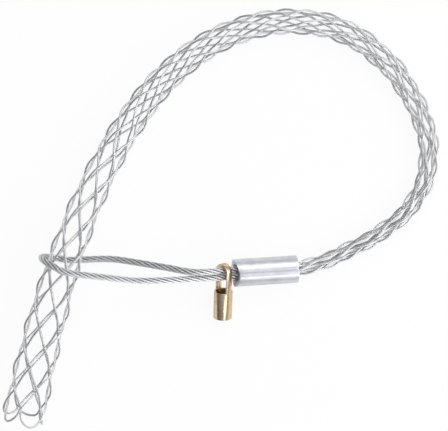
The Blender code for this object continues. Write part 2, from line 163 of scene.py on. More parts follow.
# Half of the thread's flat crest and one sloping flank, as shares of the pitch
THREAD_CREST = 0.08
THREAD_FLANK = 0.3
COUNTERSINK_DEPTH = 3.6 * MM
COUNTERSINK_RADIUS = 3.8 * MM
COUNTERSINK_LAP = 0.1 * MM
TONGUE_THICKNESS = 3.1 * MM
WINDOW_WIDTH = 6.8 * MM
ARCH_THICKNESS = 1.4 * MM
ARCH_MARGIN = 0.06 * MM
WINDOW_SILL = 0.4 * MM
# The window is a hair wider than the solid model's, because the round wires stand a little prouder
WINDOW_ROOM = 0.17 * MM
END_FROM_SLEEVE = 5.0 * MM
END_TILT = math.radians(22)
END_LEAN = math.radians(2)
END_ROLL = math.radians(50)

# Floor, sky and camera
FLOOR_REACH = 4000 * MM
FLOOR_DROP = 0.05 * MM
SKY_COLOUR = (0.95, 0.955, 0.98)
SKY_LEAN = (0.36, 0.2, 0)
SKY_LEVEL = 0.6
SENSOR_WIDTH = 36
LENS = 300
# What the picture spans at the object's middle height
PICTURE_WIDTH = 224 * MM
MIDDLE_HEIGHT = 8 * MM

# Softboxes: name, place and size in metres, and power in watts
SOFTBOXES = (
    ("right_softbox", (0.85, 0.02, 0.58), (0.95, 0.75), 4.3),
    ("top_softbox", (0.3, 0.75, 0.82), (0.9, 0.6), 2.9),
    ("low_softbox", (0.47, -0.7, 0.6), (0.6, 0.4), 1.8),
)

# Colours of each metal, from its dullest to its brightest; for the sock's and rope's steel the dullest is
# the painted shade between the wires
SOCK_STEEL = ((0.42, 0.425, 0.435), (0.84, 0.845, 0.855), (0.97, 0.97, 0.98))
ROPE_STEEL = ((0.45, 0.455, 0.465), (0.9, 0.905, 0.915), (0.99, 0.99, 0.995))
CORE_STEEL = ((0.22, 0.22, 0.24), (0.4, 0.4, 0.43))
ALUMINIUM = ((0.63, 0.63, 0.675), (0.74, 0.74, 0.775), (0.82, 0.82, 0.845))
ALUMINIUM_RUBBED = (0.6, 0.61, 0.66)
# Painted shade in the sleeve's creases
ALUMINIUM_CREASE_SHADE = (0.4, 0.4, 0.45)
BRASS = ((0.62, 0.45, 0.28), (0.76, 0.59, 0.40), (0.86, 0.71, 0.50))
BRASS_SPOTS = (0.42, 0.29, 0.16)
# Painted shade inside the brass end's hole
BRASS_HOLE_SHADE = (0.2, 0.125, 0.07)

# Room round what is gripped, and how far a cutter reaches past what it cuts
CLEAR = 0.3 * MM
OVERCUT = 1 * MM

ROPE_D = 2 * ROPE_LAY_RADIUS + ROPE_STRAND_D
ROPE_LEG_PITCH = ROPE_D + ROPE_LEG_GAP
CROSSING_STEP = BRAID_PITCH / (2 * STRANDS)
BRAID_LENGTH = FIRST_CROSSING + CROSSINGS * CROSSING_STEP
TURN_RATE = 2 * math.pi / BRAID_PITCH
STRAND_ANGLE = 2 * math.pi / STRANDS
ROPE_LIFT = ROPE_D + CLEAR
LIFT_REACH = 62 * MM

SLEEVE_RIGHT = Vector((SOCK_ROUTE[0][0], SOCK_ROUTE[0][1], 0)) * MM
SLEEVE_RIGHT.z = SLEEVE_D / 2 * math.cos(SLEEVE_TILT)
SLEEVE_AXIS = Vector(
    (
        -math.cos(SLEEVE_TILT) * math.cos(SLEEVE_YAW),
        -math.cos(SLEEVE_TILT) * math.sin(SLEEVE_YAW),
        math.sin(SLEEVE_TILT),
    )
)
SLEEVE_LEFT = SLEEVE_RIGHT + SLEEVE_AXIS * SLEEVE_LENGTH
END_Z = Vector(
    (
        math.cos(END_TILT) * math.sin(END_LEAN),
        math.cos(END_TILT) * math.cos(END_LEAN),
        math.sin(END_TILT),
    )
)
END_LEVEL = Vector((math.cos(END_LEAN), -math.sin(END_LEAN), 0))
END_X = END_LEVEL * math.cos(END_ROLL) + END_LEVEL.cross(END_Z) * math.sin(END_ROLL)
END_Y = END_Z.cross(END_X)
END_PLACE = SLEEVE_LEFT + SLEEVE_AXIS * END_FROM_SLEEVE
# In the sleeve, from the leg of the rope that passes over the sock to the one that passes under it
LEG_STACK = (END_Z - SLEEVE_AXIS * END_Z.dot(SLEEVE_AXIS)).normalized()


# Routes of the wires, as in the solid model


class Route:
    """A smooth curve through points, read by the distance along it."""

    STEPS = 24

    def __init__(self, points):
        first = 2 * points[0] - points[1]
        last = 2 * points[-1] - points[-2]
        padded = [first, *points, last]
        places = []
        for a, b, c, d in zip(padded, padded[1:], padded[2:], padded[3:]):
            for step in range(self.STEPS):
                places.append(self.between(a, b, c, d, step / self.STEPS))
        places.append(points[-1].copy())
        self.places = np.array(places, float)
        lengths = np.linalg.norm(np.diff(self.places, axis=0), axis=1)
        self.distances = np.concatenate([[0.0], np.cumsum(lengths)])
        self.length = float(self.distances[-1])

    @staticmethod
    def between(a, b, c, d, t):
        """A centripetal span from b to c."""
        t1 = math.sqrt((b - a).length)
        t2 = t1 + math.sqrt((c - b).length)
        t3 = t2 + math.sqrt((d - c).length)
        at = t1 + t * (t2 - t1)
        p = a.lerp(b, at / t1)
        q = b.lerp(c, (at - t1) / (t2 - t1))
        r = c.lerp(d, (at - t2) / (t3 - t2))
        pq = p.lerp(q, at / t2)
        qr = q.lerp(r, (at - t1) / (t3 - t1))
        return pq.lerp(qr, (at - t1) / (t2 - t1))

    def at(self, distance):
        """The point this far along, carried straight on past either end."""
        if distance <= 0:
            start = self.places[1] - self.places[0]
            return Vector(self.places[0] + start / np.linalg.norm(start) * distance)
        if distance >= self.length:
            end = self.places[-1] - self.places[-2]
            over = distance - self.length
            return Vector(self.places[-1] + end / np.linalg.norm(end) * over)
        return Vector([np.interp(distance, self.distances, self.places[:, i]) for i in range(3)])

    def sampled(self, distances):
        """The points at many distances."""
        columns = [np.interp(distances, self.distances, self.places[:, i]) for i in range(3)]
        return np.stack(columns, axis=1)


def smooth_step(share):
    """0 before the start, 1 after the end, with no corner between."""
    share = min(max(share, 0.0), 1.0)
    return share * share * (3 - 2 * share)


def table_value(table, distance):
    """A value that changes along the sock."""
    if distance <= table[0][0]:
        return table[0][1]
    for (start, before), (end, after) in zip(table, table[1:]):
        if distance <= end:
            share = (distance - start) / (end - start)
            return before + (after - before) * (smooth_step(share) + share) / 2
    return table[-1][1]


def sock_radius(distance):
    return table_value(SOCK_RADII, distance)


def sock_roll(distance):
    return math.radians(table_value(SOCK_ROLLS, distance))


def sock_plan():
    points = [Vector((x, y, 0)) * MM for x, y in SOCK_ROUTE]
    back = Vector((SLEEVE_AXIS.x, SLEEVE_AXIS.y, 0)).normalized()
    return Route([points[0] + back * STRAND_GRIP, *points])


SOCK_PLAN = sock_plan()
SLEEVE_DROP = SLEEVE_RIGHT.z - SOCK_RADII[0][1]
SETTLE_LENGTH = 2 * SLEEVE_DROP / math.tan(SLEEVE_TILT)


def sock_axis(distance):
    if distance < 0:
        return SLEEVE_RIGHT - SLEEVE_AXIS * distance
    place = SOCK_PLAN.at(distance + STRAND_GRIP)
    place.z = sock_radius(distance)
    place.z += SLEEVE_DROP * max(1 - distance / SETTLE_LENGTH, 0) ** 2
    place.z += ROPE_LIFT * (1 - smooth_step(abs(distance - CROSSING_AT) / LIFT_REACH))
    return place


def sock_point(distance, angle, radius):
    """A point on the sock, by distance from the sleeve, angle round the axis and radius."""
    reach = 1.5 * MM
    along = (sock_axis(distance + reach) - sock_axis(distance - reach)).normalized()
    if distance < 0:
        along = -SLEEVE_AXIS
    side = along.cross(Vector((0, 0, 1))).normalized()
    up = side.cross(along)
    return sock_axis(distance) + side * (radius * math.cos(angle)) + up * (radius * math.sin(angle))


def wave_height(distance):
    return THROAT_WAVE + (MOUTH_WAVE - THROAT_WAVE) * smooth_step(distance / BRAID_LENGTH)


def braid_radius(distance):
    return sock_radius(distance) - wave_height(distance) - STRAND_D / 2


def winding(strand, way):
    """One way of a strand through the braid, from inside the sleeve to the last crossing."""
    step = CROSSING_STEP / POINTS_PER_CROSSING
    first = -math.floor(FIRST_CROSSING / step)
    places = [-STRAND_GRIP, -STRAND_GRIP / 2, 0]
    places += [FIRST_CROSSING + i * step for i in range(first, CROSSINGS * POINTS_PER_CROSSING + 1)]
    points = []
    for distance in places:
        free = max(distance, 0)
        wound = (free - FIRST_CROSSING) * TURN_RATE
        angle = sock_roll(free) + strand * STRAND_ANGLE + way * wound
        offset = way * wave_height(free) * math.cos(wound * STRANDS)
        points.append(sock_point(distance, angle, braid_radius(free) + offset))
    return points


def mouth_loop(strand):
    """The turn at the mouth."""
    half = STRAND_ANGLE / 2
    wound = (BRAID_LENGTH - FIRST_CROSSING) * TURN_RATE
    middle = sock_roll(BRAID_LENGTH) + strand * STRAND_ANGLE + wound + half
    length = LOOP_LENGTH + MOUTH_SLANT * math.sin(middle)
    side = math.cos(wound * STRANDS) * wave_height(BRAID_LENGTH)
    turns = [(long, wide, -1, rise) for long, wide, rise in LOOP_SHAPE]
    turns.append((1, 0, 0, 0))
    turns += [(long, wide, 1, rise) for long, wide, rise in reversed(LOOP_SHAPE)]
    points = []
    for long, wide, way, rise in turns:
        distance = BRAID_LENGTH + long * length
        radius = braid_radius(BRAID_LENGTH) - way * side * rise
        points.append(sock_point(distance, middle + way * half * wide, radius))
    return points


def strand_route(strand):
    out = winding(strand, 1)
    home = winding(strand + CROSSINGS + 1, -1)
    points = out + mouth_loop(strand) + home[::-1]
    return Route([point + SHIFT for point in points])


def eye_route():
    """The rope's centre line, out along the lower leg, round the sock and back along the upper."""
    stack = LEG_STACK * (ROPE_LEG_PITCH / 2)
    runs = (-ROPE_GRIP, -ROPE_GRIP / 2, 0, END_FROM_SLEEVE, END_FROM_SLEEVE + ROPE_STRAIGHT)
    lower = [SLEEVE_LEFT + SLEEVE_AXIS * run + stack for run in runs]
    upper = [SLEEVE_LEFT + SLEEVE_AXIS * run - stack for run in reversed(runs)]
    lower += [Vector(point) * MM for point in LOWER_LEG]
    upper = [Vector(point) * MM for point in UPPER_LEG] + upper
    wrap = []
    for step in range(WRAP_STEPS + 1):
        share = step / WRAP_STEPS
        distance = CROSSING_AT + CROSSING_SLANT * (2 * share - 1)
        angle = (2 * share - 1) * WRAP_HALF_ANGLE
        wrap.append(sock_point(distance, angle, sock_radius(distance) + CLEAR + ROPE_D / 2))
    return Route([point + SHIFT for point in lower + wrap + upper])


# Fine wires


def unit(rows):
    return rows / np.linalg.norm(rows, axis=1, keepdims=True)


def carried(centres):
    """Directions along a line of points, and two cross directions that don't twist about it."""
    along = unit(np.gradient(centres, axis=0))
    side = np.zeros_like(along)
    up = np.zeros_like(along)
    now = np.cross(along[0], (0.0, 0.0, 1.0))
    for i, forward in enumerate(along):
        now = now - forward * now.dot(forward)
        now = now / np.linalg.norm(now)
        side[i] = now
        up[i] = np.cross(forward, now)
    return along, side, up


def add_tube(parts, centres, first, second, radius, corners, tone, crest=None):
    """One wire's rings of vertices, its quads and its two flat ends, all added to the parts."""
    vertices, faces, facing, tones = parts
    start = sum(len(v) for v in vertices)
    rings = len(centres)
    angles = np.arange(corners) * 2 * math.pi / corners
    ring = first[:, None, :] * np.cos(angles)[None, :, None]
    ring = ring + second[:, None, :] * np.sin(angles)[None, :, None]
    vertices.append((centres[:, None, :] + ring * radius).reshape(-1, 3))
    # Share of each vertex kept clear of painted shade: all on a wire's outer side, none on the side facing
    # into its strand
    unshaded = np.tile((1 + np.cos(angles)) / 2, rings)
    facing.append(unshaded if crest is None else unshaded * crest(vertices[-1], corners))
    tones.append(np.full(rings * corners, tone))
    row = np.arange(rings - 1)[:, None] * corners + start
    corner = np.arange(corners)[None, :]
    following = (corner + 1) % corners
    quads = np.stack(
        [row + corner, row + following, row + following + corners, row + corner + corners], axis=-1
    )
    faces.extend(quads.reshape(-1, 4).tolist())
    faces.append([start + i for i in reversed(range(corners))])
    faces.append([start + (rings - 1) * corners + i for i in range(corners)])


def stranded_wire(name, centres, wire_d, strand_d, lay, seed, outward=None):
    """Wires laid round a centre wire. In a rope, outward points from the rope's axis to the strand."""

    # Painted shade between a rope's strands: the lower a wire lies under its strand's middle, the less of
    # its full colour it keeps
    def crest(vertices, corners):
        reach = vertices - np.repeat(centres, corners, axis=0)
        height = (reach * np.repeat(outward, corners, axis=0)).sum(axis=1) / (strand_d / 2)
        return np.clip((height - CREST_START) / CREST_RISE, CREST_LEAST, 1)

    tones = np.random.default_rng(seed).uniform(0, 1, LAID_WIRES)
    along, side, up = carried(centres)
    distance = np.concatenate([[0], np.cumsum(np.linalg.norm(np.diff(centres, axis=0), axis=1))])
    parts = ([], [], [], [])
    vertices, faces, facing, shades = parts
    lay_radius = (strand_d - wire_d) / 2
    gap_shade = None if outward is None else crest
    for wire in range(LAID_WIRES):
        angle = 2 * math.pi * (distance / lay + wire / LAID_WIRES)
        out = side * np.cos(angle)[:, None] + up * np.sin(angle)[:, None]
        path = centres + out * lay_radius
        heading = unit(np.gradient(path, axis=0))
        out = unit(out - heading * (out * heading).sum(axis=1, keepdims=True))
        across = np.cross(heading, out)
        add_tube(parts, path, out, across, wire_d / 2, WIRE_CORNERS, tones[wire], gap_shade)
    add_tube(parts, centres[::2], side[::2], up[::2], wire_d / 2, CENTRE_WIRE_CORNERS, 0.0)
    # The centre wire is hidden by the others, so it is painted in shade all round
    facing[-1][:] = 0.0
    mesh = bpy.data.meshes.new(name)
    mesh.from_pydata(np.concatenate(vertices).tolist(), [], faces)
    for label, values in (("unshaded_share", facing), ("wire_tone", shades)):
        layer = mesh.attributes.new(label, "FLOAT", "POINT")
        layer.data.foreach_set("value", np.concatenate(values).astype(np.float32))
    mesh.shade_smooth()
    obj = bpy.data.objects.new(name, mesh)
    bpy.context.scene.collection.objects.link(obj)
    return obj


def even_centres(route, step):
    count = max(int(round(route.length / step)), 2)
    return route.sampled(np.linspace(0, route.length, count + 1))


def rope_strand_centres(route, strand):
    """A rope strand's centre line, and the directions from the rope's axis to it.

    The line follows the corners of the solid model's strand, rounded.
    """
    turns = round(route.length / ROPE_LAY_PITCH)
    coarse = turns * ROPE_SIDES_PER_TURN
    reach = 0.4 * MM
    side = None
    points = []
    for step in range(coarse + 1):
        distance = route.length * step / coarse
        along = (route.at(distance + reach) - route.at(distance - reach)).normalized()
        if side is None:
            side = along.cross(Vector((0, 0, 1)))
        side = (side - along * side.dot(along)).normalized()
        up = along.cross(side)
        angle = 2 * math.pi * (turns * step / coarse + strand / ROPE_STRANDS)
        out = side * math.cos(angle) + up * math.sin(angle)
        points.append(route.at(distance) + out * ROPE_LAY_RADIUS)
    centres = even_centres(Route(points), ROPE_WIRE_STEP)
    axis = even_centres(route, ROPE_AXIS_STEP)
    nearest = [axis[np.argmin(((axis - centre) ** 2).sum(axis=1))] for centre in centres]
    return centres, unit(centres - np.array(nearest))


# Solid pieces


def link_mesh(name, shape, place):
    mesh = bpy.data.meshes.new(name)
    bmesh.ops.recalc_face_normals(shape, faces=shape.faces)
    shape.to_mesh(mesh)
    shape.free()
    obj = bpy.data.objects.new(name, mesh)
    obj.matrix_world = place
    bpy.context.scene.collection.objects.link(obj)
    return obj


def rod(name, rings, place, sides):
    """A closed round body through (height, radius) rings.

    A radius may also be a function of the angle and the height.
    """
    shape = bmesh.new()
    loops = []
    for height, radius in rings:
        loop = []
        for side in range(sides):
            angle = 2 * math.pi * side / sides
            reach = radius(angle, height) if callable(radius) else radius
            loop.append(shape.verts.new((reach * math.cos(angle), reach * math.sin(angle), height)))
        loops.append(loop)
    for lower, upper in zip(loops, loops[1:]):
        for i in range(sides):
            j = (i + 1) % sides
            shape.faces.new((lower[i], lower[j], upper[j], upper[i]))
    shape.faces.new(loops[0][::-1])
    shape.faces.new(loops[-1])
    return link_mesh(name, shape, place)


def plate(name, outline, low, high, place):
    """A flat outline in XY, from one height to the other."""
    shape = bmesh.new()
    bottom = [shape.verts.new((x, y, low)) for x, y in outline]
    top = [shape.verts.new((x, y, high)) for x, y in outline]
    count = len(outline)
    for i in range(count):
        j = (i + 1) % count
        shape.faces.new((bottom[i], bottom[j], top[j], top[i]))
    shape.faces.new(bottom[::-1])
    shape.faces.new(top)
    return link_mesh(name, shape, place)


def arc(centre, radius, start, end, steps):
    """Points on an arc, from one angle to the other in degrees."""
    points = []
    for step in range(steps + 1):
        angle = math.radians(start + (end - start) * step / steps)
        points.append((centre[0] + radius * math.cos(angle), centre[1] + radius * math.sin(angle)))
    return points


def stadium(length, width, steps):
    offset = (length - width) / 2
    return arc((offset, 0), width / 2, -90, 90, steps) + arc((-offset, 0), width / 2, 90, 270, steps)


def shape_with(obj, cutter, operation="DIFFERENCE"):
    modifier = obj.modifiers.new(cutter.name, "BOOLEAN")
    modifier.operation = operation
    modifier.solver = "EXACT"
    modifier.object = cutter


def apply_cuts(obj, cutters):
    """Keep the object's shape as its modifiers leave it, and delete them and the cutters."""
    bpy.context.view_layer.update()
    graph = bpy.context.evaluated_depsgraph_get()
    mesh = bpy.data.meshes.new_from_object(obj.evaluated_get(graph))
    obj.modifiers.clear()
    obj.data = mesh
    for cutter in cutters:
        bpy.data.objects.remove(cutter, do_unlink=True)


def soften(obj, width, segments, angle, smooth_angle):
    """Round the edges that are sharper than an angle, and shade the faces between sharp ones smooth."""
    modifier = obj.modifiers.new("edges", "BEVEL")
    modifier.width = width
    modifier.segments = segments
    modifier.limit_method = "ANGLE"
    modifier.angle_limit = math.radians(angle)
    apply_cuts(obj, [])
    shade(obj, smooth_angle)


def shade(obj, smooth_angle):
    obj.data.shade_smooth()
    obj.data.set_sharp_from_angle(angle=math.radians(smooth_angle))


def settle(obj):
    """Move the vertices into the row frame, and keep their places in the piece's own for its material."""
    mesh = obj.data
    own = np.zeros(len(mesh.vertices) * 3, np.float32)
    mesh.vertices.foreach_get("co", own)
    mesh.attributes.new("own_place", "FLOAT_VECTOR", "POINT").data.foreach_set("vector", own)
    mesh.transform(obj.matrix_world)
    obj.matrix_world = Matrix.Identity(4)


def frame_matrix(x_axis, y_axis, z_axis, place):
    turned = Matrix((x_axis, y_axis, z_axis)).transposed()
    return Matrix.Translation(place) @ turned.to_4x4()


def sleeve_skin(angle, height):
    """The sleeve's outer radius: round, with a soft crease along either side and faint press waves."""
    radius = SLEEVE_D / 2
    lost = 0.0
    for middle in (CREASE_ANGLE + math.pi / 2, CREASE_ANGLE - math.pi / 2):
        turn = (angle - middle + math.pi) % (2 * math.pi) - math.pi
        share = abs(turn) * radius / CREASE_REACH
        if share < 1:
            lost += CREASE_DEPTH * (1 - share * share) ** 2
    first, second = PRESS_WAVE_RATES
    wave = math.sin(3 * angle + first * height) * math.cos(2 * angle - second * height)
    lost += PRESS_WAVE * (1 + wave)
    return radius - lost


def make_sleeve():
    place = frame_matrix(-LEG_STACK, LEG_STACK.cross(SLEEVE_AXIS), SLEEVE_AXIS, SLEEVE_RIGHT + SHIFT)
    heights = [SLEEVE_LENGTH * i / SLEEVE_RINGS for i in range(SLEEVE_RINGS + 1)]
    sleeve = rod("sleeve_skin", [(height, sleeve_skin) for height in heights], place, sides=144)

    throat_radius = braid_radius(0) + wave_height(0) + STRAND_D / 2 + CLEAR
    throat = [(-CLEAR, throat_radius), (STRAND_GRIP + CLEAR, throat_radius)]
    cutters = [rod("throat", throat, place, sides=96)]
    slot_width = ROPE_D + 2 * CLEAR
    mouth_width = slot_width + 2 * SLEEVE_MOUTH_FLARE
    mouth_floor = SLEEVE_LENGTH - SLEEVE_MOUTH_DEPTH
    cuts = (("slot", slot_width, -SLEEVE_MOUTH_DEPTH), ("mouth", mouth_width, mouth_floor))
    for name, width, low in cuts:
        outline = stadium(ROPE_LEG_PITCH + width, width, steps=24)
        cutters.append(plate(name, outline, low, SLEEVE_LENGTH + SLEEVE_MOUTH_DEPTH, place))
    bow = (SLEEVE_D**2 / 4 + SLEEVE_SCALLOP**2) / (2 * SLEEVE_SCALLOP)
    bow_place = place @ Matrix.Translation((0, 0, SLEEVE_LENGTH + bow - SLEEVE_SCALLOP))
    bow_place = bow_place @ Matrix.Rotation(math.radians(-90), 4, "X")
    cutters.append(rod("scallop", [(0, bow), (SLEEVE_D, bow)], bow_place, sides=220))

    for cutter in cutters:
        shape_with(sleeve, cutter)
    apply_cuts(sleeve, cutters)
    soften(sleeve, SLEEVE_EDGE, segments=2, angle=40, smooth_angle=38)
    settle(sleeve)
    return sleeve


def thread_radius(angle, height):
    """A metric thread's profile: flat crests and roots with sloping flanks."""
    turn = (height / THREAD_PITCH - angle / (2 * math.pi)) % 1
    slope = min(max((abs(turn - 0.5) - THREAD_CREST) / THREAD_FLANK, 0), 1)
    depth = (THREAD_D - END_BORE_D) / 2
    return END_BORE_D / 2 + depth * slope


def end_heights():
    """Heights in the threaded end's frame: the window's top, the arch's top, the foot and the shoulder."""
    window_top = ROPE_LEG_PITCH / 2 + ROPE_D / 2 + CLEAR
    bottom = window_top + ARCH_THICKNESS - END_LENGTH
    return window_top, window_top + ARCH_THICKNESS, bottom, bottom + END_BARREL


def end_blank(place, upright):
    """The barrel and the tongue with its arch and window, before the hole is drilled."""
    radius = END_D / 2
    beyond = radius + OVERCUT
    window_top, top, bottom, shoulder = end_heights()
    end = rod("brass_body", [(bottom, radius), (top + OVERCUT, radius)], place, sides=120)

    arch_radius = radius + ARCH_MARGIN
    middle = top - arch_radius
    below = bottom - OVERCUT
    outline = arc((0, middle), arch_radius, 0, 180, steps=64)
    outline += [(-beyond, middle), (-beyond, below), (beyond, below), (beyond, middle)]
    arch = plate("arch", outline, -beyond, beyond, upright)
    shape_with(end, arch, "INTERSECT")

    cutters = []
    for side in (-1, 1):
        near = side * TONGUE_THICKNESS / 2
        far = side * beyond
        square = [(-beyond, near), (beyond, near), (beyond, far), (-beyond, far)]
        cutters.append(plate("flat", square, shoulder, top + 2 * OVERCUT, place))
    half = WINDOW_WIDTH / 2 + WINDOW_ROOM
    sill = shoulder + WINDOW_SILL
    outline = arc((0, window_top + WINDOW_ROOM - half), half, 0, 180, steps=48)
    outline += [(-half, sill), (half, sill)]
    cutters.append(plate("window", outline, -beyond, beyond, upright))

    for cutter in cutters:
        shape_with(end, cutter)
    apply_cuts(end, [arch, *cutters])
    soften(end, END_EDGE, segments=3, angle=50, smooth_angle=35)
    return end


def make_end():
    place = frame_matrix(END_X, END_Y, END_Z, END_PLACE + SHIFT)
    upright = place @ Matrix.Rotation(math.radians(90), 4, "X")
    end = end_blank(place, upright)

    _, _, bottom, shoulder = end_heights()
    steps = round((END_BARREL + 2 * OVERCUT) / THREAD_PITCH * THREAD_RINGS)
    heights = [bottom - OVERCUT + THREAD_PITCH * i / THREAD_RINGS for i in range(steps + 1)]
    bore = rod("bore", [(height, thread_radius) for height in heights], place, sides=48)
    sink_foot = (shoulder - COUNTERSINK_DEPTH, END_BORE_D / 2 - COUNTERSINK_LAP)
    sink = rod("countersink", [sink_foot, (shoulder + CLEAR, COUNTERSINK_RADIUS)], place, sides=64)

    for cutter in (bore, sink):
        shape_with(end, cutter)
    apply_cuts(end, [bore, sink])
    shade(end, smooth_angle=32)
    settle(end)
    return end


# Materials


class Nodes:
    """Short ways to add nodes to a node tree."""

    def __init__(self, tree):
        self.tree = tree

    def node(self, kind, **settings):
        node = self.tree.nodes.new(kind)
        for key, value in settings.items():
            setattr(node, key, value)
        return node

    def link(self, source, target):
        self.tree.links.new(source, target)

    def feed(self, value, socket):
        """Set a socket to a number or a colour, or link it to a node's output."""
        if isinstance(value, (int, float)):
            socket.default_value = value
        elif isinstance(value, tuple):
            socket.default_value = (*value, 1)
        else:
            self.link(value, socket)

    def maths(self, operation, *values, clamp=False):
        node = self.node("ShaderNodeMath", operation=operation, use_clamp=clamp)
        for value, socket in zip(values, node.inputs):
            self.feed(value, socket)
        return node.outputs[0]

    def reach(self, vector, direction):
        """How far a vector goes in a direction."""
        node = self.node("ShaderNodeVectorMath", operation="DOT_PRODUCT")
        node.inputs[1].default_value = direction
        self.link(vector, node.inputs[0])
        return node.outputs["Value"]

    def ranged(self, value, low, high, to_low, to_high):
        node = self.node("ShaderNodeMapRange")
        for key, number in zip(("From Min", "From Max", "To Min", "To Max"), (low, high, to_low, to_high)):
            node.inputs[key].default_value = number
        self.link(value, node.inputs["Value"])
        return node.outputs["Result"]


class Metal(Nodes):
    """A metallic Principled material."""

    def __init__(self, name):
        self.material = bpy.data.materials.new(name)
        self.material.use_nodes = True
        super().__init__(self.material.node_tree)
        self.main = self.tree.nodes["Principled BSDF"]
        self.main.inputs["Metallic"].default_value = 1

    def place(self, scale=(1, 1, 1), own=False):
        """Object coordinates, or the piece's own ones, stretched."""
        mapping = self.node("ShaderNodeMapping")
        mapping.inputs["Scale"].default_value = scale
        if own:
            source = self.node("ShaderNodeAttribute", attribute_name="own_place").outputs["Vector"]
        else:
            source = self.node("ShaderNodeTexCoord").outputs["Object"]
        self.link(source, mapping.inputs["Vector"])
        return mapping.outputs["Vector"]

    def noise(self, where, scale, detail=2.0, roughness=0.5):
        node = self.node("ShaderNodeTexNoise")
        node.inputs["Scale"].default_value = scale
        node.inputs["Detail"].default_value = detail
        node.inputs["Roughness"].default_value = roughness
        self.link(where, node.inputs["Vector"])
        return node.outputs["Fac"]

    def attribute(self, name):
        return self.node("ShaderNodeAttribute", attribute_name=name).outputs["Fac"]

    def ramp(self, value, positions, colours):
        node = self.node("ShaderNodeValToRGB")
        elements = node.color_ramp.elements
        while len(elements) < len(positions):
            elements.new(0.5)
        for element, position, colour in zip(elements, positions, colours):
            element.position = position
            element.color = (*colour, 1)
        self.link(value, node.inputs["Fac"])
        return node.outputs["Color"]

    def mix(self, share, first, second, blend="MIX"):
        node = self.node("ShaderNodeMix", data_type="RGBA", blend_type=blend)
        for value, socket in ((share, node.inputs[0]), (first, node.inputs[6]), (second, node.inputs[7])):
            self.feed(value, socket)
        return node.outputs[2]

    def bump(self, height, distance, strength, after=None):
        node = self.node("ShaderNodeBump")
        node.inputs["Distance"].default_value = distance
        node.inputs["Strength"].default_value = strength
        self.link(height, node.inputs["Height"])
        if after is not None:
            self.link(after, node.inputs["Normal"])
        return node.outputs["Normal"]

    def finish(self, colour, roughness, normal):
        self.link(colour, self.main.inputs["Base Color"])
        self.link(roughness, self.main.inputs["Roughness"])
        self.link(normal, self.main.inputs["Normal"])
        return self.material


def wire_steel(name, shade_colour, body, bright):
    """Galvanised wire in blotchy tones, with painted shade on the wires' sides facing into their strand,
    and low between a rope's strands.
    """
    m = Metal(name)
    where = m.place()
    blotch = m.noise(where, 900, detail=3)
    grain = m.noise(where, 7000)
    colour = m.ramp(blotch, (0.25, 0.75), (body, bright))
    shade = m.ranged(m.attribute("wire_tone"), 0, 1, 0.86, 1.0)
    grey = m.node("ShaderNodeCombineColor")
    for channel in ("Red", "Green", "Blue"):
        m.link(shade, grey.inputs[channel])
    colour = m.mix(1.0, colour, grey.outputs["Color"], "MULTIPLY")
    # Painted shade on the wires' inner sides and, in the rope, between the strands
    unshaded = m.ranged(m.attribute("unshaded_share"), 0.18, 0.72, 0, 1)
    colour = m.mix(unshaded, shade_colour, colour)
    rough = m.ranged(blotch, 0.3, 0.7, 0.26, 0.42)
    return m.finish(colour, rough, m.bump(grain, 0.03 * MM, strength=0.35))


def core_steel():
    """The rope's core, dull between the strands."""
    m = Metal("rope_core_wire")
    where = m.place()
    blotch = m.noise(where, 900, detail=3)
    colour = m.ramp(blotch, (0.25, 0.75), CORE_STEEL)
    rough = m.ranged(blotch, 0.3, 0.7, 0.4, 0.6)
    return m.finish(colour, rough, m.bump(m.noise(where, 5000), 0.03 * MM, strength=0.4))


def aluminium():
    """Pressed sleeve: drawn lines along it, cloudy oxide, small rub marks and painted shade along the
    creases.
    """
    m = Metal("pressed_aluminium")
    where = m.place(own=True)
    lines = m.noise(m.place((1, 1, 0.035), own=True), 2600, detail=3, roughness=0.6)
    clouds = m.noise(where, 210, detail=4, roughness=0.6)
    marks = m.noise(m.place((1, 1, 0.3), own=True), 700, detail=2, roughness=0.7)
    colour = m.ramp(clouds, (0.3, 0.55, 0.75), ALUMINIUM)
    colour = m.mix(m.ranged(marks, 0.6, 0.7, 0, 0.5), colour, ALUMINIUM_RUBBED)
    # Painted shade along both creases
    across = m.reach(where, (math.cos(CREASE_ANGLE), math.sin(CREASE_ANGLE), 0))
    crease_shade = m.ranged(m.maths("ABSOLUTE", across), 0.2 * MM, 1.9 * MM, 0.6, 0)
    colour = m.mix(crease_shade, colour, ALUMINIUM_CREASE_SHADE)
    rough = m.ranged(lines, 0.3, 0.7, 0.36, 0.52)
    normal = m.bump(lines, 0.04 * MM, strength=0.3)
    normal = m.bump(clouds, 0.5 * MM, strength=0.25, after=normal)
    return m.finish(colour, rough, normal)


